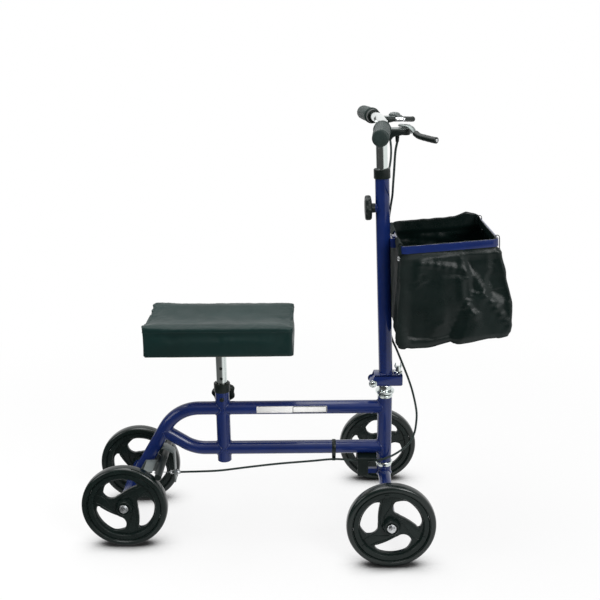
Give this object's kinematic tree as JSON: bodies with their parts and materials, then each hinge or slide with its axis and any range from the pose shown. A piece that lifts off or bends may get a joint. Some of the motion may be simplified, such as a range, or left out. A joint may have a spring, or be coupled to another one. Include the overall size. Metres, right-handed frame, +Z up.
{
  "type": "knee walker",
  "caption": "Steerable knee walker with a padded knee board on a tube frame, a folding steering column, a handlebar with brake levers, spoked wheels and a cloth basket.",
  "frame": {"origin": "on the floor, midway between the object's front and rear ends and between its sides", "axes": "+X forward, +Y to the rider's left, +Z up"},
  "size_m": [0.9662, 0.534, 0.9728],
  "materials": {
    "blue_paint": "glossy dark blue enamel",
    "grey_paint": "satin grey paint",
    "chrome": "polished",
    "bright_steel": "zinc plated",
    "black_plastic": "moulded, fine satin",
    "wheel_plastic": "moulded, semi gloss",
    "tyre_rubber": "smooth solid tyre",
    "black_rubber": "soft satin",
    "plywood": "unfinished edge",
    "black_vinyl": "grained upholstery vinyl",
    "black_cloth": "coated nylon"
  },
  "bodies": {
    "frame": {"main_frame": "blue_paint", "steering_stop": "black_plastic", "headset_lower_cup": "chrome", "headset_upper_cup": "chrome", "headset_seal": "black_rubber", "seat_bush": "black_plastic", "brake_bracket_right": "grey_paint", "brake_bracket_left": "grey_paint", "brake_hanger": "grey_paint", "cable_adjuster": "bright_steel", "brake_pin": "bright_steel", "rear_bolt_right": "bright_steel", "rear_bolt_left": "bright_steel", "cable_rear": "black_rubber"},
    "seat": {"seat_post": "chrome", "seat_plate": "bright_steel", "knee_board": "plywood", "knee_pad": "black_vinyl"},
    "seat_knob": {"seat_knob": "black_plastic"},
    "steering": {"front_fork": "blue_paint", "fold_base": "blue_paint", "headset_locknut": "chrome", "front_bolt_right": "bright_steel", "front_bolt_left": "bright_steel", "fold_pin": "chrome", "cable_loop_bottom": "black_rubber", "cable_loop_top": "black_rubber"},
    "stem": {"stem_column": "blue_paint", "stem_bush": "black_plastic", "basket_bracket": "blue_paint", "cable_joiner": "black_plastic", "cable_stem": "black_rubber"},
    "stem_knob": {"stem_knob": "black_plastic"},
    "fold_wing": {"fold_wing_bolt": "chrome"},
    "handlebar": {"handlebar": "chrome", "grip_right": "black_rubber", "grip_left": "black_rubber", "grip_cap_right": "black_rubber", "grip_cap_left": "black_rubber", "lever_bracket_right": "black_plastic", "lever_bracket_left": "black_plastic", "lever_adjuster_right": "bright_steel", "lever_adjuster_left": "bright_steel", "cable_right": "black_rubber", "cable_left": "black_rubber"},
    "lever_right": {"brake_lever_right": "grey_paint", "lever_sleeve_right": "black_plastic"},
    "lever_left": {"brake_lever_left": "grey_paint", "lever_sleeve_left": "black_plastic"},
    "brake": {"brake_bar": "black_plastic"},
    "wheel_rear_right": {"wheel_rear_right": "wheel_plastic", "tyre_rear_right": "tyre_rubber"},
    "wheel_rear_left": {"wheel_rear_left": "wheel_plastic", "tyre_rear_left": "tyre_rubber"},
    "wheel_front_right": {"wheel_front_right": "wheel_plastic", "tyre_front_right": "tyre_rubber"},
    "wheel_front_left": {"wheel_front_left": "wheel_plastic", "tyre_front_left": "tyre_rubber"},
    "basket": {"basket_frame": "blue_paint", "basket_bag": "black_cloth"}
  },
  "joints": [
    {"name": "steering", "type": "hinge", "parent": "frame", "child": "steering", "pos_m": [0.22107, 0, 0.2], "axis": [0, 0, 1], "range_deg": [-35, 35], "deforming": ["cable_loop_bottom"]},
    {"name": "stem_fold", "type": "hinge", "parent": "steering", "child": "stem", "pos_m": [0.19157, 0, 0.358], "axis": [0, -1, 0], "range_deg": [0, 42], "deforming": ["cable_loop_top"]},
    {"name": "handlebar_height", "type": "slide", "parent": "stem", "child": "handlebar", "axis": [-0.0309, 0, 0.9995], "range_m": [-0.0762, 0.0508], "deforming": ["cable_right", "cable_left"]},
    {"name": "seat_height", "type": "slide", "parent": "frame", "child": "seat", "axis": [0, 0, 1], "range_m": [-0.0762, 0.0254]},
    {"name": "seat_knob_turn", "type": "hinge", "parent": "frame", "child": "seat_knob", "pos_m": [-0.16043, 0, 0.32], "axis": [0, 1, 0], "range_deg": [0, 720]},
    {"name": "stem_knob_turn", "type": "hinge", "parent": "stem", "child": "stem_knob", "pos_m": [0.21023, 0, 0.76781], "axis": [-0.9995, 0, -0.0309], "range_deg": [0, 720]},
    {"name": "fold_wing_turn", "type": "hinge", "parent": "stem", "child": "fold_wing", "pos_m": [0.25107, 0, 0.38], "axis": [0, 0, 1], "range_deg": [0, 720]},
    {"name": "lever_right_pull", "type": "hinge", "parent": "handlebar", "child": "lever_right", "pos_m": [0.244, -0.13215, 0.95846], "axis": [0.0028, 0.026, -0.9997], "range_deg": [0, 18], "stiffness_Nm_per_rad": 3, "springref_deg": -17.19},
    {"name": "lever_left_pull", "type": "hinge", "parent": "handlebar", "child": "lever_left", "pos_m": [0.244, 0.13215, 0.95846], "axis": [-0.0028, 0.026, 0.9997], "range_deg": [0, 18], "stiffness_Nm_per_rad": 3, "springref_deg": -17.19},
    {"name": "brake_rock", "type": "hinge", "parent": "frame", "child": "brake", "pos_m": [-0.31399, 0, 0.14805], "axis": [0, -1, 0], "range_deg": [0, 6]},
    {"name": "wheel_rear_right_spin", "type": "hinge", "parent": "frame", "child": "wheel_rear_right", "pos_m": [-0.38393, -0.11, 0.09914], "axis": [0, 1, 0], "continuous": true},
    {"name": "wheel_rear_left_spin", "type": "hinge", "parent": "frame", "child": "wheel_rear_left", "pos_m": [-0.38393, 0.11, 0.09914], "axis": [0, 1, 0], "continuous": true},
    {"name": "wheel_front_right_spin", "type": "hinge", "parent": "steering", "child": "wheel_front_right", "pos_m": [0.22107, -0.206, 0.09914], "axis": [0, 1, 0], "continuous": true},
    {"name": "wheel_front_left_spin", "type": "hinge", "parent": "steering", "child": "wheel_front_left", "pos_m": [0.22107, 0.206, 0.09914], "axis": [0, 1, 0], "continuous": true},
    {"name": "basket_lift", "type": "slide", "parent": "stem", "child": "basket", "axis": [-0.0732, 0, 0.9973], "range_m": [0, 0.04]}
  ],
  "couplings": [
    {"joint": "brake_rock", "follows": "lever_right_pull", "ratio": 0.3333}
  ]
}
